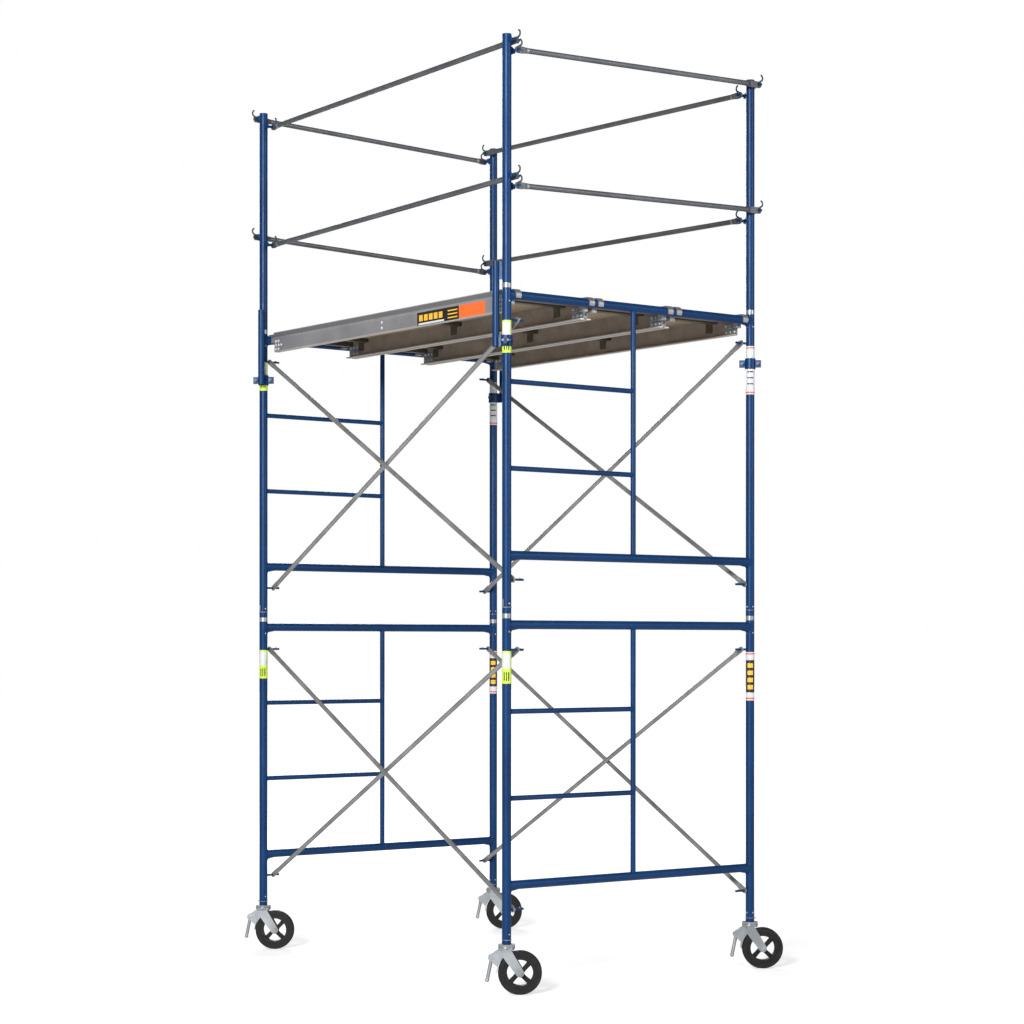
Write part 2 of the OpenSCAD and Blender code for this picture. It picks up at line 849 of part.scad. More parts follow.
// Two flat bolts, each with a thumb pin, that slide out under the near bearer
module wind_latch(i) {
    color(ZINC)
        for (x = HOOK_X)
            translate([(i - 1) * deck_step + x, -bay_l / 2, latch_low]) {
                translate([-latch_w / 2, latch_from, 0]) cube([latch_w, latch_to - latch_from, latch_t]);
                translate([0, latch_pin_at, latch_t - latch_pin_h - 3])
                    cylinder(r = latch_pin_r, h = latch_pin_h);
            }
}

// ---------- casters ----------

module at_caster(c) {
    at_corner(c) rotate([0, 0, trail_angle]) children();
}

module fork_body() {
    arm_y = arm_in + arm_t / 2;
    sunk = 0.5;
    bolt_l = 2 * (arm_in + arm_t) + 17;
    washer_y = tread_w / 2 + 2.3;
    difference() {
        union() {
            translate([0, 0, crown_bottom]) cylinder(r = crown_r, h = crown_top - crown_bottom);
            translate([-24, -arm_in - arm_t + sunk, crown_bottom + 1])
                cube([50, 2 * (arm_in + arm_t - sunk), 8]);
            for (s = [-1, 1]) {
                link_xz([3, 190], [trail, axle_z], 25, 19, arm_t, s * arm_y);
                translate([0, s * 19 + 2, 0]) rotate([90, 0, 0]) linear_extrude(4) polygon(BRACKET);
                translate([trail, s * (arm_in + arm_t - sunk), axle_z])
                    bar_y(axle_nut_r, s * axle_nut_h, $fn = 6);
                translate([trail, s * washer_y, axle_z])
                    bar_y(axle_washer_r, s * (arm_in + sunk - washer_y));
            }
            translate([trail, shoe_w / 2, axle_z])
                rotate([90, 0, 0])
                rotate([0, 0, shoe_from])
                sector(wheel_r + shoe_gap, wheel_r + shoe_gap + shoe_t, shoe_arc, shoe_w);
            translate([trail, -bolt_l / 2, axle_z]) bar_y(axle_r, bolt_l);
            translate([lever_x, -pivot_l / 2, lever_z]) bar_y(pivot_r, pivot_l);
        }
        translate([0, 0, crown_bottom - 20]) cylinder(r = kingpin_r + run, h = 60);
        translate([0, 0, crown_bottom - 40]) cylinder(r = kingpin_head_r + 0.5, h = 40.4);
    }
}

// A curved strip about the Z axis, from radius r1 to r2 over angle a, h high
module sector(r1, r2, a, h) {
    rotate_extrude(angle = a) translate([r1, 0]) square([r2 - r1, h]);
}

// Fork with its brake bracket and shoe, axle bolt and nuts, and lever pivot
module caster_fork(c) {
    color(ZINC) at_caster(c) fork_body();
}

// Cast wheel: hub, four spokes and a rim
module wheel(c) {
    color(BLACK)
        at_caster(c)
            translate([trail, 0, axle_z])
            difference() {
                union() {
                    difference() {
                        translate([0, -rim_w / 2, 0]) bar_y(rim_out, rim_w);
                        translate([0, -rim_w, 0]) bar_y(rim_in, 2 * rim_w);
                    }
                    translate([0, -wheel_hub_w / 2, 0]) bar_y(wheel_hub_r, wheel_hub_w);
                    for (a = [0, 90, 180, 270])
                        rotate([0, a + spoke_turn, 0])
                            translate([0, -spoke_w / 2, -spoke_t / 2])
                            cube([rim_in + 4, spoke_w, spoke_t]);
                }
                translate([0, -wheel_hub_w, 0]) bar_y(axle_r + run, 2 * wheel_hub_w);
            }
}

// Moulded tread with rounded shoulders
module tyre(c) {
    half = tread_w / 2;
    shoulder = wheel_r - tread_round;
    color(RUBBER)
        at_caster(c)
            translate([trail, 0, axle_z])
            rotate([90, 0, 0])
            rotate_extrude($fn = 96)
            union() {
                translate([rim_out, -half]) square([shoulder - rim_out, tread_w]);
                translate([rim_out, tread_round - half])
                    square([wheel_r - rim_out, tread_w - 2 * tread_round]);
                for (s = [-1, 1])
                    translate([shoulder, s * (half - tread_round)]) circle(r = tread_round, $fn = 32);
            }
}

// Hand lever: a hub on its pivot and a tube that hangs clear of the wheel
module brake_lever(c) {
    color(ZINC)
        at_caster(c)
            translate([lever_x, 0, lever_z])
            difference() {
                union() {
                    translate([0, -lever_hub_w / 2, 0]) bar_y(lever_hub_r, lever_hub_w);
                    rotate([0, 180 + lever_lean, 0]) cylinder(r = lever_r, h = lever_len);
                    rotate([0, 180 + lever_lean, 0]) translate([0, 0, lever_len]) sphere(r = lever_ball);
                }
                translate([0, -lever_hub_w, 0]) bar_y(pivot_r + run, 2 * lever_hub_w);
            }
}

// ---------- the nodes ----------

// Names are matched here; with "all" every sub-part is drawn
function shown(name) = node == "all" || node == name;

module placed() {
    translate([shift_x, shift_y, 0]) children();
}

for (i = [0 : 3]) {
    y_side = 2 * (i % 2) - 1;
    if (shown(str("frame_", FRAMES[i]))) placed() end_frame(floor(i / 2), y_side);
}
for (i = [0 : 7]) {
    x_side = 2 * (floor(i / 2) % 2) - 1;
    if (shown(str("brace_", BRACES[i]))) placed() brace(floor(i / 4), x_side, i % 2 == 0);
}
for (i = [0 : 7]) {
    h = i < 4 ? mid_rail_h : top_rail_h;
    if (shown(str("guard_rail_", RAILS[i]))) placed() guard_rail(RAIL_SIDES[i % 4], h);
}
if (shown("coupling_pins")) placed() coupling_pins();
if (shown("spring_clips")) placed() spring_clips();
if (shown("brace_lock_tabs")) placed() lock_tabs();
if (shown("post_clamps")) placed() post_clamps();
if (shown("clamp_bolts")) placed() clamp_bolts();
if (shown("caster_stems")) placed() caster_stems();
for (c = CORNERS) {
    if (shown(str("guard_post_", c))) placed() guard_post(c);
    if (shown(str("guard_hooks_", c))) placed() guard_hooks(c);
    if (shown(str("caster_fork_", c))) placed() caster_fork(c);
    if (shown(str("wheel_", c))) placed() wheel(c);
    if (shown(str("tyre_", c))) placed() tyre(c);
    if (shown(str("brake_lever_", c))) placed() brake_lever(c);
}
for (i = [0 : 2]) {
    if (shown(str("platform_frame_", DECKS[i]))) placed() platform_frame(i);
    if (shown(str("platform_deck_", DECKS[i]))) placed() platform_deck(i);
    if (shown(str("wind_latch_", DECKS[i]))) placed() wind_latch(i);
}
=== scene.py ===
"""Looks of the rolling scaffold tower: materials, trim pieces, studio and camera.

Metres, +Z up, in the CAD frame.
"""
import json
import math
import bpy
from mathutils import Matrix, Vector


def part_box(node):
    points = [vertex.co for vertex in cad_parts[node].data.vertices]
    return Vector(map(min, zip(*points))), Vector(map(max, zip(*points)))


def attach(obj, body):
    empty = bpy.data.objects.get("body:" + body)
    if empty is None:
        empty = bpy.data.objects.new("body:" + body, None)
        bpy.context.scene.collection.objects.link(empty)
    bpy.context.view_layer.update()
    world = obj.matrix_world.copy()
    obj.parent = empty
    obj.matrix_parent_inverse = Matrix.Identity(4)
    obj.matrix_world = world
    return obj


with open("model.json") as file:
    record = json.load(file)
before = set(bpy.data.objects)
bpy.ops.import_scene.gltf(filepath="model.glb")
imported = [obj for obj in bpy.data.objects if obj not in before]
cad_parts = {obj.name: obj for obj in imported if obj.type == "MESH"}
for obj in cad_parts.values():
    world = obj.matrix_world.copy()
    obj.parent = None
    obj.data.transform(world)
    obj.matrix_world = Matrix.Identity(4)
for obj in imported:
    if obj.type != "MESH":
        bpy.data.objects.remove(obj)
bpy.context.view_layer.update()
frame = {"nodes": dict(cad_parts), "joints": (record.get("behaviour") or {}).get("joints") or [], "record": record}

# ---------- sizes that follow the frame ----------

CORNERS = ["near_left", "near_right", "far_left", "far_right"]
DECKS = ["left", "middle", "right"]
MOUNT = {m["name"]: m for m in frame["record"]["mounts"]}
LEG = {c: Vector(MOUNT["post_socket_" + c]["pos_m"]).to_2d() for c in CORNERS}
MIDDLE = sum(LEG.values(), Vector((0, 0))) / 4
HALF_W = abs(LEG["near_right"].x - MIDDLE.x)
HALF_L = abs(LEG["far_left"].y - MIDDLE.y)
FOOT = [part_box("frame_lower_near")[0].z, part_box("frame_upper_near")[0].z]
HEAD = [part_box("frame_lower_near")[1].z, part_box("frame_upper_near")[1].z]

LEG_R = 0.02145
BEARER_R = 0.02065
RUNG_R = 0.0127
LOW_BEARER = 0.270
TOP_BEARER = 1.473
RUNGS = [0.671, 1.072]
FLARE_DROP = 0.012

RIDGE = 0.005
RIDGE_BAND = 0.026
WEB = 0.003
FLANGE = 0.005
DECK_END = 0.060
HOOK_X = 0.2185
HOOK_STEP = 0.0057
RAIL_RISE = 0.0465
RAIL_R = 0.0127
END_PLATE_R = 0.016
BAND_AT = 0.046
BAND_LENGTH = 0.012
BAND_RISE = 0.0011
BAND_BEVEL = 0.0006
FILM = 0.0004
INK_BACK = 0.0003
PLATE_BACK = 0.0002
MASK_EDGE = 0.0005
# The painted lip shade stops this far below the rail top.
BAND_TOP = 0.0045
# The painted shade inside the platform frame stops this far below the rail top.
SHADE_TOP = 0.0035
UP = Vector((0, 0, 1))


# ---------- node materials ----------

class Nodes:
    """A small helper that adds shader nodes and links them."""

    def __init__(self, name):
        self.material = bpy.data.materials.new(name)
        self.material.use_nodes = True
        self.tree = self.material.node_tree
        self.shader = self.tree.nodes["Principled BSDF"]
        self.coords = self.add("ShaderNodeTexCoord").outputs["Object"]

    def add(self, kind, **values):
        node = self.tree.nodes.new(kind)
        for key, value in values.items():
            setattr(node, key, value)
        return node

    def link(self, source, target):
        self.tree.links.new(source, target)

    def scaled(self, x, y, z):
        mapping = self.add("ShaderNodeMapping")
        mapping.inputs["Scale"].default_value = (x, y, z)
        self.link(self.coords, mapping.inputs["Vector"])
        return mapping.outputs["Vector"]

    def noise(self, scale, detail=4.0, rough=0.55, vector=None):
        node = self.add("ShaderNodeTexNoise")
        node.inputs["Scale"].default_value = scale
        node.inputs["Detail"].default_value = detail
        node.inputs["Roughness"].default_value = rough
        self.link(vector or self.coords, node.inputs["Vector"])
        return node.outputs["Fac"]

    def cells(self, scale):
        node = self.add("ShaderNodeTexVoronoi")
        node.inputs["Scale"].default_value = scale
        self.link(self.coords, node.inputs["Vector"])
        return node.outputs["Distance"]

    def ramp(self, value, stops):
        node = self.add("ShaderNodeValToRGB")
        elements = node.color_ramp.elements
        while len(elements) < len(stops):
            elements.new(0.5)
        for element, (place, colour) in zip(elements, stops):
            element.position = place
            element.color = tuple(colour) + (1.0,)
        self.link(value, node.inputs["Fac"])
        return node.outputs["Color"]

    def span(self, value, low, high, to_low, to_high):
        node = self.add("ShaderNodeMapRange")
        for key, number in zip(("From Min", "From Max", "To Min", "To Max"), (low, high, to_low, to_high)):
            node.inputs[key].default_value = number
        self.link(value, node.inputs["Value"])
        return node.outputs["Result"]

    def mix(self, factor, first, second):
        node = self.add("ShaderNodeMix", data_type="RGBA")
        for key, value in (("Factor", factor), ("A", first), ("B", second)):
            kind = "VALUE" if key == "Factor" else "RGBA"
            socket = [s for s in node.inputs if s.name == key and s.type == kind][0]
            if isinstance(value, bpy.types.NodeSocket):
                self.link(value, socket)
            elif key == "Factor":
                socket.default_value = value
            else:
                socket.default_value = tuple(value) + (1.0,)
        return [s for s in node.outputs if s.type == "RGBA"][0]

    def axis(self, letter):
        node = self.add("ShaderNodeSeparateXYZ")
        self.link(self.coords, node.inputs["Vector"])
        return node.outputs[letter]

    def maths(self, operation, first, second):
        node = self.add("ShaderNodeMath", operation=operation)
        for socket, value in zip(node.inputs, (first, second)):
            if isinstance(value, bpy.types.NodeSocket):
                self.link(value, socket)
            else:
                socket.default_value = value
        return node.outputs["Value"]

    def distance(self, letter, middle):
        return self.maths("ABSOLUTE", self.maths("SUBTRACT", self.axis(letter), middle), 0.0)

    def step(self, value, edge, above):
        return self.maths("GREATER_THAN" if above else "LESS_THAN", value, edge)

    def both(self, first, second):
        return self.maths("MULTIPLY", first, second)

    def bump(self, height, strength, distance):
        node = self.add("ShaderNodeBump")
        node.inputs["Strength"].default_value = strength
        node.inputs["Distance"].default_value = distance
        self.link(height, node.inputs["Height"])
        self.link(node.outputs["Normal"], self.shader.inputs["Normal"])

    def finish(self, colour, roughness, metallic=0.0, specular=0.5):
        if isinstance(colour, bpy.types.NodeSocket):
            self.link(colour, self.shader.inputs["Base Color"])
        else:
            self.shader.inputs["Base Color"].default_value = tuple(colour) + (1.0,)
        if isinstance(roughness, bpy.types.NodeSocket):
            self.link(roughness, self.shader.inputs["Roughness"])
        else:
            self.shader.inputs["Roughness"].default_value = roughness
        self.shader.inputs["Metallic"].default_value = metallic
        self.shader.inputs["Specular IOR Level"].default_value = specular
        return self.material


def blue_paint():
    """Dipped enamel: deep blue with slow thickness drift, fine orange peel, dust and a few rubbed streaks."""
    n = Nodes("blue_paint")
    drift = n.noise(2.3, 3)
    base = n.ramp(drift, [(0.32, (0.0008, 0.0230, 0.086)), (0.68, (0.0016, 0.0340, 0.122))])
    dust = n.span(n.noise(14, 6, 0.65), 0.52, 0.78, 0.0, 0.12)
    dusty = n.mix(dust, base, (0.012, 0.046, 0.116))
    streaks = n.span(n.noise(60, 3, 0.6, n.scaled(1, 1, 0.08)), 0.66, 0.74, 0.0, 0.35)
    worn = n.mix(streaks, dusty, (0.012, 0.062, 0.165))
    n.bump(n.noise(420, 2), 0.12, 0.0006)
    return n.finish(worn, n.span(n.noise(9, 4), 0.3, 0.7, 0.30, 0.46), specular=0.20)


def galvanised(name, dark, light, metallic, rough):
    """Zinc coated tube: spangle cells, a fine bump and dull weathered patches."""
    n = Nodes(name)
    patches = n.noise(7, 5, 0.6)
    base = n.ramp(patches, [(0.3, dark), (0.7, light)])
    spangle = n.span(n.cells(230), 0.0, 0.8, 0.0, 0.16)
    crystals = n.mix(spangle, base, tuple(min(1.0, c * 1.5) for c in light))
    stain = n.span(n.noise(26, 6, 0.7), 0.6, 0.8, 0.0, 0.35)
    stained = n.mix(stain, crystals, tuple(c * 0.55 for c in dark))
    n.bump(n.noise(300, 3), 0.10, 0.0005)
    return n.finish(stained, n.span(patches, 0.3, 0.7, rough - 0.07, rough + 0.09), metallic=metallic)


def extruded_aluminium(deck):
    """Mill finish extrusion: die lines and oxide bloom, a band of painted shade under the top lip, a painted
    highlight on the bottom flange, and painted shade inside the frame: brown on the inner webs, near black on the
    cross members.
    """
    low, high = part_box(f"platform_frame_{deck}")
    n = Nodes("extruded_aluminium_" + deck)
    lines = n.noise(90, 3, 0.6, n.scaled(4.0, 0.04, 4.0))
    bloom = n.noise(5, 5, 0.6)
    base = n.ramp(bloom, [(0.3, (0.290, 0.286, 0.300)), (0.7, (0.390, 0.385, 0.405))])
    lined = n.mix(n.span(lines, 0.35, 0.65, 0.0, 0.30), base, (0.220, 0.216, 0.226))
    # Painted shade: the lip face below its top edge is darkened, standing in for the shade under the lip.
    painted_lip_shade = n.step(n.axis("Z"), high.z - RIDGE_BAND, True)
    painted_lip_shade = n.both(painted_lip_shade, n.step(n.axis("Z"), high.z - BAND_TOP, False))
    lined = n.mix(painted_lip_shade, lined, (0.205, 0.205, 0.213))
    # Painted highlight: the bottom flange is coloured lighter and warmer, standing in for light along its edges.
    painted_flange_highlight = n.step(n.axis("Z"), low.z + FLANGE + MASK_EDGE, False)
    lined = n.mix(painted_flange_highlight, lined, (0.520, 0.490, 0.455))
    # Painted shade inside the frame: the inner faces of the side rails turn brown and the cross members inside
    # them near black, standing in for the shade beneath the deck.
    across = n.distance("X", (low.x + high.x) / 2)
    half = (high.x - low.x) / 2
    inner = n.step(across, half - RIDGE - WEB / 2, False)
    inner = n.both(inner, n.step(n.distance("Y", MIDDLE.y), HALF_L - DECK_END - MASK_EDGE, False))
    inner = n.both(inner, n.step(n.axis("Z"), low.z + FLANGE + MASK_EDGE, True))
    inner = n.both(inner, n.step(n.axis("Z"), high.z - SHADE_TOP, False))
    painted_member_shade = n.both(inner, n.step(across, half - RIDGE - WEB - MASK_EDGE, False))
    # This noise only varies the tone of the painted shade.
    shade_mottle = n.noise(11, 6, 0.65)
    web = n.ramp(shade_mottle, [(0.3, (0.210, 0.172, 0.140)), (0.7, (0.310, 0.260, 0.215))])
    dark = n.ramp(shade_mottle, [(0.3, (0.042, 0.033, 0.022)), (0.7, (0.084, 0.068, 0.049))])
    with_painted_shade = n.mix(painted_member_shade, n.mix(inner, lined, web), dark)
    n.bump(lines, 0.16, 0.0006)
    n.finish(with_painted_shade, n.span(bloom, 0.3, 0.7, 0.38, 0.54))
    n.link(n.span(inner, 0.0, 1.0, 0.55, 0.08), n.shader.inputs["Metallic"])
    return n.material


def plywood():
    """Rotary cut veneer: long wavy grain along the deck, knots, and a weathered brown stain."""
    n = Nodes("plywood")
    wander = n.noise(1.6, 3, 0.5, n.scaled(3.0, 0.35, 3.0))
    grain = n.add("ShaderNodeTexWave", wave_type="BANDS", bands_direction="X")
    grain.inputs["Scale"].default_value = 9.0
    grain.inputs["Distortion"].default_value = 9.0
    grain.inputs["Detail"].default_value = 4.0
    n.link(n.scaled(1.6, 0.16, 1.0), grain.inputs["Vector"])
    fibre = n.noise(150, 4, 0.6, n.scaled(3.0, 0.06, 3.0))
    base = n.ramp(grain.outputs["Fac"], [(0.15, (0.290, 0.200, 0.125)), (0.85, (0.500, 0.380, 0.260))])
    toned = n.mix(n.span(wander, 0.35, 0.7, 0.0, 0.55), base, (0.260, 0.210, 0.155))
    fibred = n.mix(n.span(fibre, 0.45, 0.7, 0.0, 0.35), toned, (0.130, 0.092, 0.060))
    n.bump(fibre, 0.25, 0.0008)
    return n.finish(fibred, n.span(fibre, 0.3, 0.7, 0.55, 0.75), specular=0.3)


def cast_black():
    """Painted casting: fine sand texture, dull black, grey dust in the hollows."""
    n = Nodes("cast_black")
    dust = n.span(n.noise(38, 5, 0.6), 0.5, 0.75, 0.0, 0.35)
    colour = n.mix(dust, (0.007, 0.007, 0.008), (0.030, 0.030, 0.032))
    n.bump(n.noise(700, 3), 0.3, 0.0006)
    return n.finish(colour, n.span(dust, 0.0, 0.35, 0.42, 0.62), specular=0.25)


def tread_rubber():
    """Moulded rubber: near black with a grey scuffed bloom and road dust."""
    n = Nodes("tread_rubber")
    scuff = n.span(n.noise(30, 6, 0.7), 0.48, 0.72, 0.0, 0.5)
    colour = n.mix(scuff, (0.007, 0.007, 0.008), (0.028, 0.028, 0.030))
    n.bump(n.noise(520, 3), 0.25, 0.0006)
    return n.finish(colour, n.span(scuff, 0.0, 0.5, 0.50, 0.78), specular=0.22)


def printed_film(name, colour, worn):
    """A printed label: flat ink with faint rubbing and a slight sheen."""
    n = Nodes(name)
    rub = n.span(n.noise(70, 5, 0.7), 0.55, 0.8, 0.0, 0.45)
    n.bump(n.noise(240, 2), 0.05, 0.0004)
    return n.finish(n.mix(rub, colour, worn), n.span(rub, 0.0, 0.45, 0.38, 0.6), specular=0.4)


MATERIAL = {
    "blue_paint": blue_paint(),
    "galvanised": galvanised("galvanised_tube", (0.175, 0.175, 0.172), (0.325, 0.327, 0.326), 0.55, 0.42),
    "rail_steel": galvanised("rail_steel", (0.085, 0.090, 0.102), (0.150, 0.158, 0.172), 0.6, 0.42),
    "dark_steel": galvanised("dark_steel", (0.020, 0.024, 0.034), (0.050, 0.056, 0.072), 0.5, 0.42),
    "bolt_steel": galvanised("bolt_steel", (0.016, 0.030, 0.066), (0.050, 0.078, 0.130), 0.4, 0.40),
    "zinc": galvanised("zinc_plate", (0.200, 0.215, 0.228), (0.360, 0.380, 0.400), 0.6, 0.36),
    "bright_zinc": galvanised("bright_zinc", (0.480, 0.510, 0.540), (0.740, 0.760, 0.790), 0.35, 0.34),
    "wheel_black": cast_black(),
    "tyre_rubber": tread_rubber(),
    "plywood": plywood(),
    "lime_film": printed_film("lime_film", (0.520, 0.720, 0.050), (0.300, 0.420, 0.090)),
    "white_film": printed_film("white_film", (0.560, 0.570, 0.600), (0.420, 0.420, 0.430)),
    "red_film": printed_film("red_film", (0.680, 0.130, 0.045), (0.420, 0.110, 0.060)),
    "orange_film": printed_film("orange_film", (0.780, 0.130, 0.026), (0.560, 0.130, 0.050)),
    "black_film": printed_film("black_film", (0.014, 0.013, 0.012), (0.050, 0.048, 0.045)),
    "gold_film": printed_film("gold_film", (0.780, 0.420, 0.040), (0.450, 0.260, 0.060)),
}

for deck in DECKS:
    MATERIAL["platform_aluminium_" + deck] = extruded_aluminium(deck)

for part in frame["record"]["subparts"]:
    mesh = frame["nodes"][part["node"]].data
    key = part["material_slot"]
    if part["node"] == "clamp_bolts":
        key = "bolt_steel"
    if key == "platform_aluminium":
        key += part["node"].removeprefix("platform_frame")
    if len(mesh.materials) == 0:
        mesh.materials.append(MATERIAL[key])
    for index in range(len(mesh.materials)):
        mesh.materials[index] = MATERIAL[key]


# ---------- mesh tools ----------

SMOOTH_ANGLE = 35
WRAP_STEP = 7.5
WRAP_LEAST = 6


class Build:
    """Collects vertices and faces for one piece."""

    def __init__(self):
        self.points = []
        self.faces = []

    def rings(self, rings, closed_along=False):
        """Joins rings of equal length into a skin, capped unless it closes on itself."""
        first = len(self.points)
        count = len(rings[0])
        for ring in rings:
            self.points.extend(Vector(p) for p in ring)
        last = len(rings) if closed_along else len(rings) - 1
        for i in range(last):
            a = first + i * count
            b = first + ((i + 1) % len(rings)) * count
            for j in range(count):
                k = (j + 1) % count
                self.faces.append((a + j, a + k, b + k, b + j))
        if not closed_along:
            self.faces.append(tuple(first + j for j in reversed(range(count))))
            self.faces.append(tuple(first + (len(rings) - 1) * count + j for j in range(count)))

    def turned(self, profile, place, axis, sides=20):
        """A turned shape: profile is (distance along axis, radius), from place."""
        axis = Vector(axis).normalized()
        turn = UP.rotation_difference(axis)
        rings = []
        for along, radius in profile:
            ring = []
            for j in range(sides):
                a = math.tau * j / sides
                point = Vector((radius * math.cos(a), radius * math.sin(a), along))
                ring.append(Vector(place) + turn @ point)
            rings.append(ring)
        self.rings(rings)

    def rod(self, path, radius, closed=False, sides=8):
        """A round rod along a path; radius is a number or one number per point."""
        path = [Vector(p) for p in path]
        rings = []
        side = None
        for i, point in enumerate(path):
            before = path[i - 1] if closed or i > 0 else point
            after = path[(i + 1) % len(path)] if closed or i < len(path) - 1 else point
            along = (after - before).normalized()
            if side is None:
                side = along.orthogonal().normalized()
            side = (side - along * side.dot(along)).normalized()
            other = along.cross(side)
            r = radius[i] if isinstance(radius, list) else radius
            rings.append([
                point + side * r * math.cos(math.tau * j / sides) + other * r * math.sin(math.tau * j / sides)
                for j in range(sides)
            ])
        self.rings(rings, closed_along=closed)

    def wrap(self, centre, radius, z0, z1, a0=0.0, a1=360.0):
        """A film bent round an upright tube, from angle a0 to a1 in degrees."""
        full = a1 - a0 >= 360
        steps = max(WRAP_LEAST, int((a1 - a0) / WRAP_STEP))
        rings = []
        for i in range(steps if full else steps + 1):
            a = math.radians(a0 + (a1 - a0) * i / steps)
            out = Vector((math.cos(a), math.sin(a), 0))
            inner = Vector((centre[0], centre[1], 0)) + out * radius
            outer = inner + out * FILM
            rings.append([inner + UP * z0, outer + UP * z0, outer + UP * z1, inner + UP * z1])
        self.rings(rings, closed_along=full)

    def slab(self, low, high):
        """A thin plate or a printed block, from its lowest to its highest corner."""
        (x0, y0, z0), (x1, y1, z1) = low, high
        outline = [(x0, y0), (x1, y0), (x1, y1), (x0, y1)]
        self.rings([[(x, y, z) for x, y in outline] for z in (z0, z1)])

    def piece(self, name, material, body, slot, smooth=True):
        mesh = bpy.data.meshes.new(name)
        mesh.from_pydata(self.points, [], self.faces)
        mesh.update()
        piece = bpy.data.objects.new(name, mesh)
        bpy.context.scene.collection.objects.link(piece)
        mesh.materials.append(MATERIAL[material])
        if smooth:
            smooth_by_angle(mesh)
        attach(piece, body)


def smooth_by_angle(mesh):
    """Smooth faces with sharp edges past the angle."""
    for polygon in mesh.polygons:
        polygon.use_smooth = True
    mesh.set_sharp_from_angle(angle=math.radians(SMOOTH_ANGLE))


# ---------- weld beads ----------

BEARER_BEAD = 0.0028
LEG_RUNG_BEAD = 0.0022
POST_RUNG_BEAD = 0.0020
POST_BEAD = 0.0024
LEG_RUNG_SINK = 0.0007
POST_RUNG_SINK = 0.0016
BEAD_STAND = 0.0004
BEAD_OUT = 0.2
FLARE_PINCH = 0.25
RIPPLE = 0.12
SADDLE_STEPS = 60
SADDLE_RIPPLES = 19
UPRIGHT_STEPS = 48
UPRIGHT_RIPPLES = 17


def saddle(build, centre, leg_r, tube_r, direction, bead, drop=0.0):
    """A rippled fillet where a level tube meets an upright one; direction is +1 or -1 along X."""
    path = []
    size = []
    for i in range(SADDLE_STEPS):
        a = math.tau * i / SADDLE_STEPS
        y = (tube_r + BEAD_STAND) * math.cos(a)
        z = (tube_r + BEAD_STAND) * math.sin(a)
        if z < 0:
            z *= 1 + drop / tube_r
            y *= 1 - FLARE_PINCH * (drop > 0) * abs(math.sin(a))
        x = math.sqrt(max(0.0, leg_r ** 2 - y ** 2))
        path.append((centre[0] + direction * (x + bead * BEAD_OUT), centre[1] + y, centre[2] + z))
        size.append(bead * (1 + RIPPLE * math.sin(a * SADDLE_RIPPLES)))
    build.rod(path, size, closed=True)


def upright_saddle(build, centre, bearer_r, tube_r, direction):
    """A rippled fillet where an upright tube meets a level one along X; direction is +1 or -1 along Z."""
    path = []
    size = []
    for i in range(UPRIGHT_STEPS):
        a = math.tau * i / UPRIGHT_STEPS
        x = tube_r * math.cos(a)
        y = tube_r * math.sin(a)
        z = math.sqrt(max(0.0, bearer_r ** 2 - y ** 2))
        path.append((centre[0] + x, centre[1] + y, centre[2] + direction * z))
        size.append(POST_BEAD * (1 + RIPPLE * math.sin(a * UPRIGHT_RIPPLES)))
    build.rod(path, size, closed=True)


def frame_welds(lift, side):
    """The beads of one end frame: bearers to legs, rungs to leg and inner post, post to bearers."""
    build = Build()
    y = MIDDLE.y + (-HALF_L if side == "near" else HALF_L)
    z = FOOT[lift]
    for s in (-1, 1):
        x = MIDDLE.x + s * HALF_W
        for h in (LOW_BEARER, TOP_BEARER):
            saddle(build, (x, y, z + h), LEG_R, BEARER_R, -s, BEARER_BEAD, FLARE_DROP)
    for h in RUNGS:
        saddle(build, (MIDDLE.x - HALF_W, y, z + h), LEG_R, RUNG_R - LEG_RUNG_SINK, 1, LEG_RUNG_BEAD)
        saddle(build, (MIDDLE.x, y, z + h), RUNG_R, RUNG_R - POST_RUNG_SINK, -1, POST_RUNG_BEAD)
    upright_saddle(build, (MIDDLE.x, y, z + LOW_BEARER), BEARER_R, RUNG_R, 1)
    upright_saddle(build, (MIDDLE.x, y, z + TOP_BEARER), BEARER_R, RUNG_R, -1)
    build.piece(f"weld_beads_{'upper' if lift else 'lower'}_{side}", "blue_paint", "tower", "blue_paint")


for lift in (0, 1):
    for side in ("near", "far"):
        frame_welds(lift, side)


# ---------- rivets and end rings on the legs ----------

RING_LIFT = 0.020
RING_STEPS = 48
RING_WIRE_R = 0.0016
RING_TAIL = 0.007
RING_TAIL_R = 0.0026
RING_CLEAR = 0.0010
RING_BITE = 0.001
RIVET_LOW = 0.046
RIVET_HIGH = 0.062
DOME = [(-0.001, 0.0045), (0.0008, 0.0045), (0.0020, 0.0036), (0.0027, 0.0018), (0.0029, 0.0003)]


def leg_rivets():
    """Three rivets round each leg of each frame, near its foot and near its head."""
    build = Build()
    for leg in LEG.values():
        inward = 1 if leg.x < MIDDLE.x else -1
        for lift in (0, 1):
            for z in (FOOT[lift] + RIVET_LOW, HEAD[lift] - RIVET_HIGH):
                for y in (-1, 1):
                    build.turned(DOME, (leg.x, leg.y + y * LEG_R, z), (0, y, 0), 14)
                build.turned(DOME, (leg.x + inward * LEG_R, leg.y, z), (inward, 0, 0), 14)
    build.piece("leg_rivets", "zinc", "tower", "zinc")


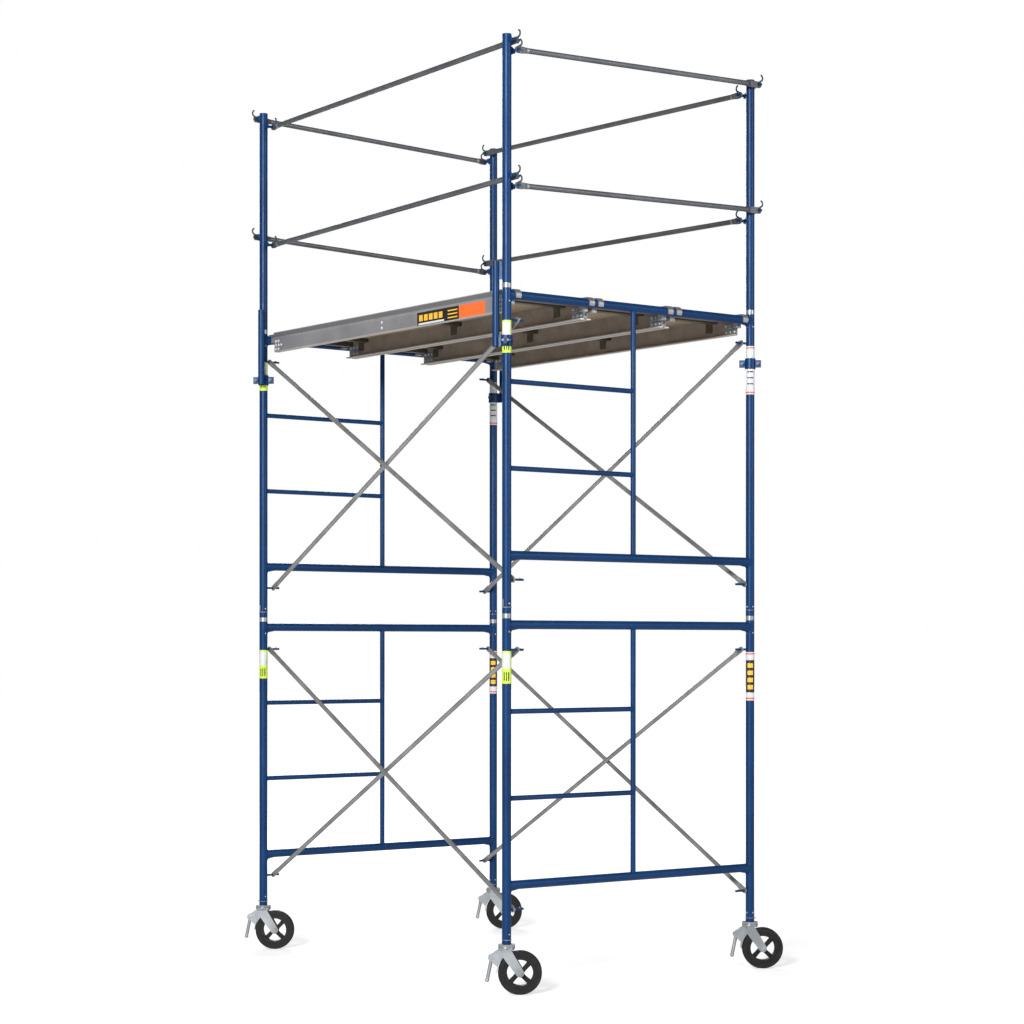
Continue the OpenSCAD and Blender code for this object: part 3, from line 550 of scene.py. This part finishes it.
def foot_rings():
    """A wire ring clipped round the foot of each bottom leg, above the caster."""
    for corner, leg in LEG.items():
        build = Build()
        middle = Vector((leg.x, leg.y, FOOT[0] + RING_LIFT))
        r = LEG_R + RING_CLEAR
        turns = [math.tau * i / RING_STEPS for i in range(RING_STEPS)]
        path = [middle + Vector((r * math.cos(a), r * math.sin(a), 0)) for a in turns]
        build.rod(path, RING_WIRE_R, closed=True)
        out = (middle - MIDDLE.to_3d() - Vector((0, 0, middle.z))).normalized()
        build.rod([middle + out * (r - RING_BITE), middle + out * (r + RING_TAIL)], RING_TAIL_R, sides=12)
        build.piece("foot_ring_" + corner, "zinc", "tower", "zinc")


leg_rivets()
foot_rings()


# ---------- labels ----------

# Heights are in metres from the frame's foot or the film's edge.
# Angles are in degrees from the front of the label.
LABEL_FRONT = -127
LIME_FOOT = 1.201
LIME_H = 0.150
PATCH_DROP = (0.082, 0.008)
PATCH_TURN = (-62, 50)
BAR_RISE = (0.012, 0.054)
BAR_TURN = -38
BAR_STEP = 28
BAR_WIDTH = 14
BARS = 3
WHITE_FOOT = 1.103
WHITE_H = 0.241
RED_DROP = (0.012, 0.005)
RED_RISE = (0.006, 0.014)
BLACK_INSET = 0.040
BLACK_TURN = 70
MARKS = 4
GOLD_RISE = 0.055
GOLD_STEP = 0.036
GOLD_H = 0.022
GOLD_TURN = (-40, 34)
GREY_RISE = 0.050
GREY_STEP = 0.030
GREY_H = 0.006
GREY_TURN = (-45, 40)


def turned_to(turns):
    """Two angles from the front of the label, as angles from +X."""
    return [LABEL_FRONT + turn for turn in turns]


def leg_labels():
    """Generic films round the legs: lime and white on the left, white and black on the right."""
    lime, white, red, black, gold, grey = (Build() for _ in range(6))
    over = LEG_R + FILM
    for corner, leg in LEG.items():
        for lift in (0, 1):
            if "left" in corner:
                z0 = FOOT[lift] + LIME_FOOT
                z1 = z0 + LIME_H
                lime.wrap(leg, LEG_R, z0, z1)
                white.wrap(leg, over, z1 - PATCH_DROP[0], z1 - PATCH_DROP[1], *turned_to(PATCH_TURN))
                for k in range(BARS):
                    turn = LABEL_FRONT + BAR_TURN + BAR_STEP * k
                    black.wrap(leg, over, z0 + BAR_RISE[0], z0 + BAR_RISE[1], turn, turn + BAR_WIDTH)
            else:
                z0 = FOOT[lift] + WHITE_FOOT
                z1 = z0 + WHITE_H
                white.wrap(leg, LEG_R, z0, z1)
                red.wrap(leg, over, z1 - RED_DROP[0], z1 - RED_DROP[1])
                red.wrap(leg, over, z0 + RED_RISE[0], z0 + RED_RISE[1])
                if lift == 0:
                    wide = turned_to((-BLACK_TURN, BLACK_TURN))
                    black.wrap(leg, over, z0 + BLACK_INSET, z1 - BLACK_INSET, *wide)
                    for k in range(MARKS):
                        z = z0 + GOLD_RISE + GOLD_STEP * k
                        gold.wrap(leg, over + FILM, z, z + GOLD_H, *turned_to(GOLD_TURN))
                else:
                    for k in range(MARKS):
                        z = z0 + GREY_RISE + GREY_STEP * k
                        grey.wrap(leg, over, z, z + GREY_H, *turned_to(GREY_TURN))
    lime.piece("leg_labels_lime", "lime_film", "tower", "blue_paint")
    white.piece("leg_labels_white", "white_film", "tower", "blue_paint")
    red.piece("leg_labels_red", "red_film", "tower", "blue_paint")
    black.piece("leg_labels_black", "black_film", "tower", "blue_paint")
    gold.piece("leg_labels_gold", "gold_film", "tower", "blue_paint")
    grey.piece("leg_labels_grey", "black_film", "tower", "blue_paint")


leg_labels()


# ---------- guard rail bands ----------

def rail_band(height, side):
    """A swaged band where a rail's low end opens from flat plate to round tube, in zinc lighter than the rail: a
    painted highlight for the sheen at that end.
    """
    low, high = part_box(f"guard_rail_{height}_{side}")
    along_x = side in ("near", "far")
    span = (high - low)[0 if along_x else 1] - 2 * END_PLATE_R
    run = (1 if side in ("near", "right") else -1) * Vector((1, 0, 0) if along_x else (0, 1, 0))
    axis = (run * span + Vector((0, 0, RAIL_RISE))).normalized()
    place = (low + high) / 2 - axis * (axis.dot(run * span) / 2 + RAIL_RISE * axis.z / 2) + axis * BAND_AT
    build = Build()
    r = RAIL_R
    swell = r + BAND_RISE
    profile = [(0, r), (BAND_BEVEL, swell), (BAND_LENGTH - BAND_BEVEL, swell), (BAND_LENGTH, r)]
    build.turned(profile, place, axis, 28)
    # Painted highlight: the band uses the lighter zinc instead of the rail's own steel.
    build.piece(f"rail_band_{height}_{side}", "zinc", "tower", "rail_steel")


for height in ("mid", "top"):
    for side in ("near", "right", "far", "left"):
        rail_band(height, side)


# ---------- platform trim ----------

PLATE_RUN = 0.092
PLATE_T = 0.0025
PLATE_LOW = 0.094
PLATE_HIGH = 0.040
SCREW = [(-0.001, 0.0046), (0.0005, 0.0046), (0.0006, 0.0022), (-0.0004, 0.0018)]
END_RIVETS = [
    (0.014, 0.046), (0.040, 0.046), (0.014, 0.068), (0.040, 0.068),
    (0.014, 0.088), (0.040, 0.088), (0.066, 0.068),
]
PLATE_RIVETS = [
    (0.018, 0.050), (0.048, 0.050), (0.078, 0.050),
    (0.018, 0.082), (0.048, 0.082), (0.078, 0.082),
]
MIDDLE_RIVETS = [0.050, 0.078]
END_GAP = 0.001
PLATE_INSET = 0.003
HOOK_RIVETS = (-0.009, 0.009)
HOOK_RIVET_IN = 0.046
SCREW_ROWS = (-0.98, -0.8, -0.4, 0.0, 0.4, 0.8, 0.98)
SCREW_LINES = (-0.19, -0.065, 0.065, 0.19)


def dome(wide, tall=1.0):
    """The rivet head's profile at another size."""
    return [(p * tall, r * wide) for p, r in DOME]


def platform_trim(deck):
    """Rivets on the side rails and hooks, the plates that hold the hooks, and the deck screws."""
    low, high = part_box(f"platform_frame_{deck}")
    deck_low, deck_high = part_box(f"platform_deck_{deck}")
    mid_x = (low.x + high.x) / 2
    web = (high.x - low.x) / 2 - RIDGE
    end = (deck_high.y - deck_low.y) / 2 + END_GAP
    rivets = Build()
    plates = Build()
    rail_top = high.z
    for s in (-1, 1):
        for y_end in (-1, 1):
            for dy, dz in END_RIVETS:
                place = (mid_x + s * web, MIDDLE.y + y_end * (end - dy), rail_top - dz)
                rivets.turned(dome(1.7, 1.2), place, (s, 0, 0), 16)
            inside = mid_x + s * (web - WEB)
            near = MIDDLE.y + y_end * (end - PLATE_INSET)
            far = MIDDLE.y + y_end * (end - PLATE_RUN)
            thick = inside - s * PLATE_T
            plates.slab(
                (min(inside, thick), min(near, far), rail_top - PLATE_LOW),
                (max(inside, thick), max(near, far), rail_top - PLATE_HIGH),
            )
            for dy, dz in PLATE_RIVETS:
                place = (thick, MIDDLE.y + y_end * (end - dy), rail_top - dz)
                rivets.turned(dome(1.35), place, (-s, 0, 0), 14)
        for dz in MIDDLE_RIVETS:
            place = (mid_x + s * web, MIDDLE.y, rail_top - dz)
            rivets.turned(dome(1.6, 1.2), place, (s, 0, 0), 16)
    for x in (-HOOK_X, HOOK_X):
        for s in (-1, 1):
            for dx in HOOK_RIVETS:
                place = (mid_x + x + dx, MIDDLE.y + s * (HALF_L - HOOK_RIVET_IN), rail_top - HOOK_STEP)
                rivets.turned(DOME, place, (0, 0, 1), 14)
    rivets.piece(f"platform_rivets_{deck}", "bright_zinc", f"platform_{deck}", "zinc")
    plates.piece(f"hook_plates_{deck}", "zinc", f"platform_{deck}", "zinc", smooth=False)
    screws = Build()
    for y in SCREW_ROWS:
        for x in SCREW_LINES:
            place = (mid_x + x, MIDDLE.y + y, deck_high.z)
            screws.turned(SCREW, place, (0, 0, 1), 14)
    screws.piece(f"deck_screws_{deck}", "zinc", f"platform_{deck}", "zinc")


for deck in DECKS:
    platform_trim(deck)


# Each block: start and end along Y from the middle, then bottom and top above the web's lower edge.
LABEL_RISE = 0.003
BLACK_PLATE = (-0.650, -0.306, 0.0, 0.066)
ORANGE_PLATE = (-0.859, -0.652, 0.002, 0.065)
GOLD_BLOCKS = [(-0.353 - 0.041 * k, -0.323 - 0.041 * k, 0.020, 0.050) for k in range(5)]
GOLD_LINES = [(-0.638, -0.560, 0.010 + 0.017 * k, 0.016 + 0.017 * k) for k in range(3)]
WHITE_LINE = (-0.530, -0.318, 0.002, 0.011)
RED_LINE = (-0.790, -0.680, 0.053, 0.060)
PLATE_LABELS = [
    ("plate_black", "black_film", [BLACK_PLATE], FILM, -PLATE_BACK),
    ("plate_orange", "orange_film", [ORANGE_PLATE], FILM, -PLATE_BACK),
    ("plate_gold", "gold_film", GOLD_BLOCKS + GOLD_LINES, 2 * FILM, INK_BACK),
    ("plate_white", "white_film", [WHITE_LINE], 2 * FILM, INK_BACK),
    ("plate_marks", "red_film", [RED_LINE], 2 * FILM, INK_BACK),
]


def platform_labels():
    """Generic black, gold and orange plates on the outer side rail of the left platform."""
    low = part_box("platform_frame_left")[0]
    face = low.x + RIDGE
    bottom = low.z + LABEL_RISE
    for name, material, blocks, front, back in PLATE_LABELS:
        build = Build()
        for y0, y1, z0, z1 in blocks:
            corner = (face - front, MIDDLE.y + y0, bottom + z0)
            build.slab(corner, (face - back, MIDDLE.y + y1, bottom + z1))
        build.piece(name, material, "platform_left", "platform_aluminium", smooth=False)


platform_labels()


# ---------- caster trim ----------

RIM_LIP = [
    (0.0, 0.0765), (0.0012, 0.0765), (0.0022, 0.0752),
    (0.0022, 0.0620), (0.0010, 0.0604), (0.0, 0.0604),
]
OUTER_RIB = [(0.0, 0.0985), (0.0007, 0.0985), (0.0011, 0.0962), (0.0007, 0.0940), (0.0, 0.0940)]
INNER_RIB = [(0.0, 0.0860), (0.0008, 0.0860), (0.0012, 0.0830), (0.0008, 0.0800), (0.0, 0.0800)]
SHROUD = [(0.0, 0.0335), (0.002, 0.0395), (0.005, 0.0405), (0.009, 0.0395), (0.011, 0.0335)]
GREASE_CAP = [(0, 0.004), (0.004, 0.004), (0.005, 0.0026), (0.009, 0.0022), (0.011, 0.0010)]
WASHER = [(0, 0.0115), (0.0016, 0.0115), (0.0024, 0.0105)]
SPOKE_ANGLES = (40, 130, 220, 310)
SPOKE_RINGS = ((0.014, 0.0125, 0.0085), (0.030, 0.0095, 0.0070), (0.061, 0.0068, 0.0060))
SPOKE_CORNERS = ((1, 1), (-1, 1), (-1, -1), (1, -1))
RING_SIDES = 64
RIM_FACE = 0.020
OUTER_RIB_FACE = 0.0245
INNER_RIB_FACE = 0.0249
FORK_FACE = 0.034
SHROUD_DROP = 0.004
GREASE_DROP = 0.001
GREASE_OUT = 0.0365


def caster_trim(corner):
    """Rim lips, tapered spokes and tread ribs on the wheel; the race shroud and washers on the fork."""
    joints = {j["name"]: j for j in frame["joints"]}
    spin = joints["wheel_spin_" + corner]
    axle = Vector(spin["pos_m"])
    across = Vector(spin["axis"])
    centre = Vector(joints["caster_swivel_" + corner]["pos_m"])
    wheel = "wheel_" + corner
    fork = "fork_" + corner
    hub = Build()
    for s in (-1, 1):
        ring(hub, RIM_LIP, axle + across * s * RIM_FACE, across * s)
    hub.piece("wheel_rim_lips_" + corner, "wheel_black", wheel, "wheel_black")
    ribs = Build()
    forward = across.cross(UP).normalized()
    for a in SPOKE_ANGLES:
        out = forward * math.cos(math.radians(a)) + UP * math.sin(math.radians(a))
        side = out.cross(across)
        rings = []
        for along, half, deep in SPOKE_RINGS:
            rings.append([axle + out * along + side * half * i + across * deep * j for i, j in SPOKE_CORNERS])
        ribs.rings(rings)
    ribs.piece("wheel_spokes_" + corner, "wheel_black", wheel, "wheel_black", smooth=False)
    tread = Build()
    for s in (-1, 1):
        ring(tread, OUTER_RIB, axle + across * s * OUTER_RIB_FACE, across * s)
        ring(tread, INNER_RIB, axle + across * s * INNER_RIB_FACE, across * s)
    tread.piece("tread_ribs_" + corner, "tyre_rubber", wheel, "tyre_rubber")
    race = Build()
    ring(race, SHROUD, centre - UP * SHROUD_DROP, UP)
    race.turned(GREASE_CAP, centre - UP * GREASE_DROP - across * GREASE_OUT, -across, 12)
    race.piece("race_shroud_" + corner, "zinc", fork, "zinc")
    bolt = Build()
    for s in (-1, 1):
        bolt.turned(WASHER, axle + across * s * FORK_FACE, across * s, 24)
    bolt.piece("axle_washers_" + corner, "zinc", fork, "zinc")


def ring(build, profile, place, axis):
    """A turned ring whose section is a closed outline of (distance along axis, radius)."""
    axis = Vector(axis).normalized()
    turn = UP.rotation_difference(axis)
    rings = []
    for j in range(RING_SIDES):
        a = math.tau * j / RING_SIDES
        out = Vector((math.cos(a), math.sin(a), 0))
        rings.append([place + turn @ (out * r + UP * d) for d, r in profile])
    build.rings(rings, closed_along=True)


for corner in CORNERS:
    caster_trim(corner)


# ---------- studio ----------

SKY_LIGHT = 0.19
FLOOR_GLOW = 0.12
FLOOR_LIFT = [0.34, 0.95]
FLOOR_FADE = [3.0, 13.0]
FLOOR_REACH = 60.0
FLOOR_PALE = 0.72
FLOOR_ROUGH = 0.9
EYE = (-7.585, -10.059, 1.6137)
HEADING = 37.316
ROLL = -0.02
SENSOR = 36.0
LENS = 86.068
SHIFT_Y = 0.1293
CLIP_END = 200
LAMPS = [
    # name, place, target, size in metres, power in watts
    ("key", (-11.5, -8.5, 6.0), (0, 0, 2.4), (3.0, 3.0), 2500),
    ("fill", (4.5, -11.0, 5.0), (0, 0, 2.0), (4, 4), 420),
    ("rim", (4.0, 9.0, 6.0), (0, 0, 2.0), (4, 4), 520),
]


def studio():
    """White floor and sky: both are brighter to the camera than to the tower."""
    scene = bpy.context.scene
    scene.view_settings.view_transform = "Standard"
    floor_mesh = bpy.data.meshes.new("studio_floor")
    r = FLOOR_REACH
    floor_mesh.from_pydata([(-r, -r, 0), (r, -r, 0), (r, r, 0), (-r, r, 0)], [], [(0, 1, 2, 3)])
    floor = bpy.data.objects.new("studio_floor", floor_mesh)
    scene.collection.objects.link(floor)
    pale = bpy.data.materials.new("studio_floor")
    pale.use_nodes = True
    shader = pale.node_tree.nodes["Principled BSDF"]
    shader.inputs["Base Color"].default_value = (FLOOR_PALE, FLOOR_PALE, FLOOR_PALE, 1)
    shader.inputs["Roughness"].default_value = FLOOR_ROUGH
    shader.inputs["Emission Color"].default_value = (1.0, 1.0, 1.0, 1)
    tree = pale.node_tree
    place = tree.nodes.new("ShaderNodeNewGeometry")
    reach = tree.nodes.new("ShaderNodeVectorMath")
    reach.operation = "LENGTH"
    fade = tree.nodes.new("ShaderNodeMapRange")
    fade.inputs["From Min"].default_value = FLOOR_FADE[0]
    fade.inputs["From Max"].default_value = FLOOR_FADE[1]
    fade.inputs["To Min"].default_value = FLOOR_LIFT[0]
    fade.inputs["To Max"].default_value = FLOOR_LIFT[1]
    direct = tree.nodes.new("ShaderNodeLightPath")
    glow = tree.nodes.new("ShaderNodeMath")
    glow.operation = "MULTIPLY_ADD"
    glow.inputs[2].default_value = FLOOR_GLOW
    tree.links.new(place.outputs["Position"], reach.inputs[0])
    tree.links.new(reach.outputs["Value"], fade.inputs["Value"])
    tree.links.new(fade.outputs["Result"], glow.inputs[0])
    tree.links.new(direct.outputs["Is Camera Ray"], glow.inputs[1])
    tree.links.new(glow.outputs["Value"], shader.inputs["Emission Strength"])
    floor_mesh.materials.append(pale)
    world = bpy.data.worlds.new("studio_world")
    scene.world = world
    world.use_nodes = True
    tree = world.node_tree
    sky = tree.nodes["Background"]
    sky.inputs["Color"].default_value = (1.0, 1.0, 1.0, 1)
    seen = tree.nodes.new("ShaderNodeLightPath")
    strength = tree.nodes.new("ShaderNodeMapRange")
    strength.inputs["To Min"].default_value = SKY_LIGHT
    strength.inputs["To Max"].default_value = 1.0
    tree.links.new(seen.outputs["Is Camera Ray"], strength.inputs["Value"])
    tree.links.new(strength.outputs["Result"], sky.inputs["Strength"])


def softbox(name, place, target, size, power):
    data = bpy.data.lights.new(name, "AREA")
    data.shape = "RECTANGLE"
    data.size, data.size_y = size
    data.energy = power
    lamp = bpy.data.objects.new(name, data)
    bpy.context.scene.collection.objects.link(lamp)
    lamp.location = place
    lamp.rotation_euler = (Vector(target) - Vector(place)).to_track_quat("-Z", "Y").to_euler()


def camera():
    """Level view past the near left corner, along a heading 37.3 degrees right of +Y."""
    data = bpy.data.cameras.new("camera")
    data.sensor_width = SENSOR
    data.lens = LENS
    data.shift_y = SHIFT_Y
    data.clip_end = CLIP_END
    eye = bpy.data.objects.new("camera", data)
    bpy.context.scene.collection.objects.link(eye)
    eye.location = (MIDDLE.x + EYE[0], MIDDLE.y + EYE[1], EYE[2])
    eye.rotation_euler = (math.radians(90), math.radians(ROLL), -math.radians(HEADING))
    bpy.context.scene.camera = eye


studio()
for lamp in LAMPS:
    softbox(*lamp)
camera()
